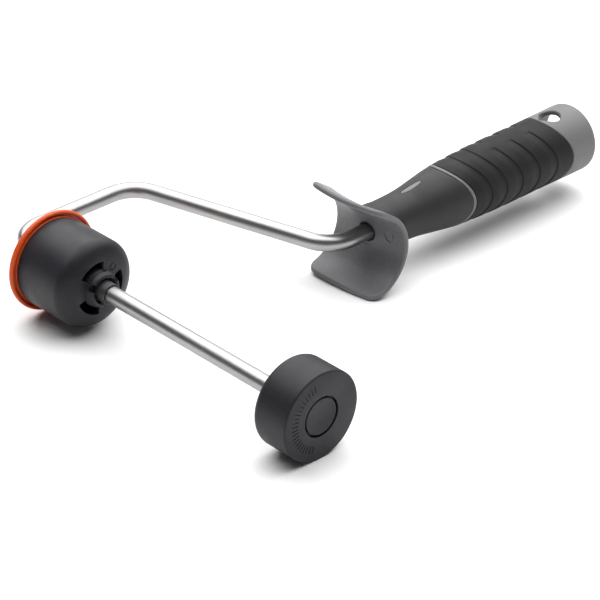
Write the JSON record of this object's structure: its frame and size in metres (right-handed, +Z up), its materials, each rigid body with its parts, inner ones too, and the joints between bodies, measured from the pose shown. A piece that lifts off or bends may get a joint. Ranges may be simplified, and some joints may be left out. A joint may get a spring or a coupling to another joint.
{
  "type": "paint roller frame",
  "caption": "Cage-less paint roller frame: bent steel rod, two free-turning sleeve hubs with an orange flange, splash guard and ribbed two-material handle.",
  "frame": {"origin": "middle of the bounding box's footprint, at the height of the flange ring's lowest point", "axes": "+X along the roller axle from the flange ring to the end hub, +Y along the handle from the axle to the butt, +Z up; axle and handle lie in one level plane"},
  "size_m": [0.2081, 0.287, 0.0482],
  "materials": {
    "rod_steel": "bright zinc-plated steel rod, fine draw lines",
    "hub_plastic": "dark blue-grey moulded plastic, satin",
    "flange_orange": "orange moulded plastic, satin",
    "guard_grey": "mid-grey moulded plastic, satin",
    "core_grey": "light grey moulded plastic, satin",
    "soft_grey": "dark grey soft-touch thermoplastic rubber",
    "rubber_black": "black thermoplastic rubber, matte, ribbed",
    "bearing_nylon": "black nylon",
    "spring_steel": "oiled spring steel"
  },
  "bodies": {
    "frame": {"rod": "rod_steel", "axle_sleeve": "bearing_nylon", "retainer_front": "spring_steel", "retainer_rear": "spring_steel", "thrust_washer_rear": "spring_steel", "end_thrust_washer": "spring_steel", "end_push_nut": "spring_steel", "rod_ferrule": "spring_steel", "splash_guard": "guard_grey", "handle_core": "core_grey", "front_grip": "soft_grey", "rear_grip": "rubber_black"},
    "inner_hub_body": {"inner_hub": "hub_plastic", "flange_ring": "flange_orange", "inner_bush_rear": "bearing_nylon", "inner_bush_front": "bearing_nylon"},
    "end_hub_body": {"end_hub": "hub_plastic", "end_plug": "hub_plastic", "end_bush_rear": "bearing_nylon", "end_bush_front": "bearing_nylon"}
  },
  "joints": [
    {"name": "inner_hub_spin", "type": "hinge", "parent": "frame", "child": "inner_hub_body", "pos_m": [-0.0709, -0.11945, 0.02403], "axis": [1, 0, 0], "continuous": true},
    {"name": "end_hub_spin", "type": "hinge", "parent": "frame", "child": "end_hub_body", "pos_m": [0.0942, -0.11945, 0.02403], "axis": [1, 0, 0], "continuous": true}
  ]
}
